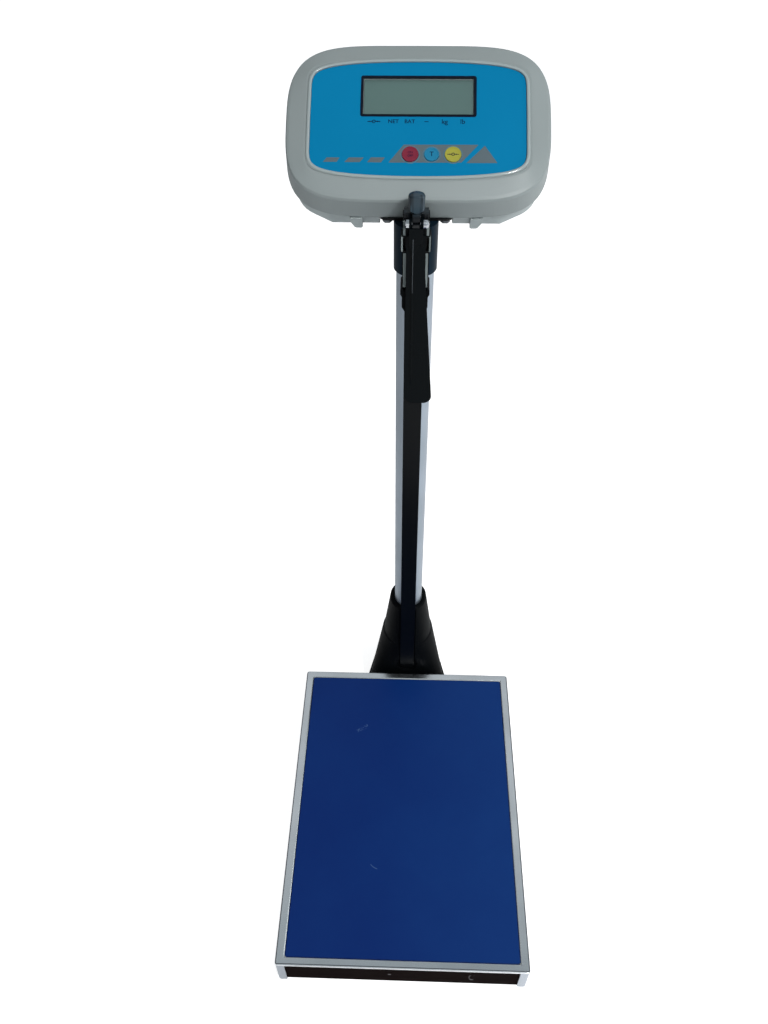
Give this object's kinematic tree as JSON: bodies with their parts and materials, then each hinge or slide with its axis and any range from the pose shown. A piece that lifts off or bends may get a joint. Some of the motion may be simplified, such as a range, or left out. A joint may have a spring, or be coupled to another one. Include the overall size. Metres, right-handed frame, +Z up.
{
  "type": "platform scale",
  "caption": "Floor platform scale for people with a column, a tilted digital display and a telescopic height gauge with a folding arm.",
  "frame": {"origin": "centre of the standing surface, on top of the mat", "axes": "+Z up, +Y to the rear towards the column, +X to the right of the person who steps on from -Y"},
  "size_m": [0.275, 0.5466, 0.8083],
  "materials": {
    "frame_paint": "satin black-brown powder coat",
    "foot_rubber": "matt moulded rubber",
    "zinc_steel": "zinc-plated",
    "cell_aluminium": "milled aluminium",
    "carrier_paint": "grey powder coat",
    "pan_steel": "satin stainless sheet",
    "mat_blue": "smooth blue rubber, slightly glossy",
    "boot_plastic": "black moulded plastic, fine grain",
    "column_aluminium": "satin anodised aluminium",
    "cable_sheath": "dark sheath",
    "bracket_paint": "black lacquer",
    "dark_bolts": "blackened steel",
    "guide_plastic": "grey moulded plastic",
    "rod_black": "black anodised aluminium",
    "slider_plastic": "natural acetal",
    "grip_plastic": "dark blue-grey glossy plastic",
    "arm_black": "black glossy plastic",
    "bright_screws": "bright plated",
    "case_grey": "light grey plastic, satin",
    "case_rear_grey": "light grey plastic, satin",
    "panel_blue": "printed blue film",
    "display_black": "black printed border",
    "display_clear": "clear window",
    "lcd_grey": "reflective liquid crystal cell",
    "key_red": "glossy moulded cap",
    "key_blue": "glossy moulded cap",
    "key_yellow": "glossy moulded cap",
    "switch_black": "moulded plastic",
    "board_green": "solder-masked board",
    "battery_case": "moulded plastic",
    "plug_cream": "natural nylon"
  },
  "bodies": {
    "base": {"base_frame": "frame_paint", "foot_front_left": "foot_rubber", "foot_front_right": "foot_rubber", "foot_rear_left": "foot_rubber", "foot_rear_right": "foot_rubber", "foot_screws": "zinc_steel", "lower_spacer": "zinc_steel", "load_cell": "cell_aluminium", "upper_spacer": "zinc_steel", "cell_bolts_lower": "zinc_steel", "cell_bolts_upper": "zinc_steel", "upper_carrier": "carrier_paint", "pan_pads": "foot_rubber", "column_boot": "boot_plastic", "boot_bolts": "zinc_steel", "column_tube": "column_aluminium", "column_screws": "zinc_steel", "signal_cable": "cable_sheath", "top_sleeve": "boot_plastic", "head_bracket": "bracket_paint", "flange_bolts": "dark_bolts", "upper_guide": "guide_plastic", "lower_guide": "boot_plastic", "guide_screws": "zinc_steel", "front_shell": "case_grey", "rear_shell": "case_rear_grey", "keypad_panel": "panel_blue", "display_frame": "display_black", "display_lens": "display_clear", "display_module": "lcd_grey", "key_switches": "switch_black", "circuit_board": "board_green", "board_screws": "zinc_steel", "battery_pack": "battery_case", "power_inlet": "switch_black", "cable_plug": "plug_cream", "case_screws": "zinc_steel"},
    "pan": {"platform_pan": "pan_steel", "platform_mat": "mat_blue"},
    "outer_rod": {"outer_rod": "rod_black", "rod_foot": "boot_plastic"},
    "inner_rod": {"inner_rod": "rod_black", "inner_rod_plug": "slider_plastic", "rod_head": "grip_plastic", "pivot_screw": "bright_screws", "pivot_nut": "bright_screws"},
    "arm": {"measuring_arm": "arm_black"},
    "key_power": {"key_power": "key_red"},
    "key_tare": {"key_tare": "key_blue"},
    "key_zero": {"key_zero": "key_yellow"}
  },
  "joints": [
    {"name": "pan_lift", "type": "slide", "parent": "base", "child": "pan", "axis": [0, 0, 1], "range_m": [0, 0.06]},
    {"name": "outer_rod_slide", "type": "slide", "parent": "base", "child": "outer_rod", "axis": [0, 0, 1], "range_m": [0, 0.56]},
    {"name": "inner_rod_slide", "type": "slide", "parent": "outer_rod", "child": "inner_rod", "axis": [0, 0, 1], "range_m": [0, 0.575]},
    {"name": "arm_pivot", "type": "hinge", "parent": "inner_rod", "child": "arm", "pos_m": [0, 0.1919, 0.6572], "axis": [-1, 0, 0], "range_deg": [0, 90]},
    {"name": "key_power_press", "type": "slide", "parent": "base", "child": "key_power", "axis": [0, 0.5736, -0.8192], "range_m": [0, 0.0008], "stiffness_N_per_m": 1500},
    {"name": "key_tare_press", "type": "slide", "parent": "base", "child": "key_tare", "axis": [0, 0.5736, -0.8192], "range_m": [0, 0.0008], "stiffness_N_per_m": 1500},
    {"name": "key_zero_press", "type": "slide", "parent": "base", "child": "key_zero", "axis": [0, 0.5736, -0.8192], "range_m": [0, 0.0008], "stiffness_N_per_m": 1500}
  ]
}
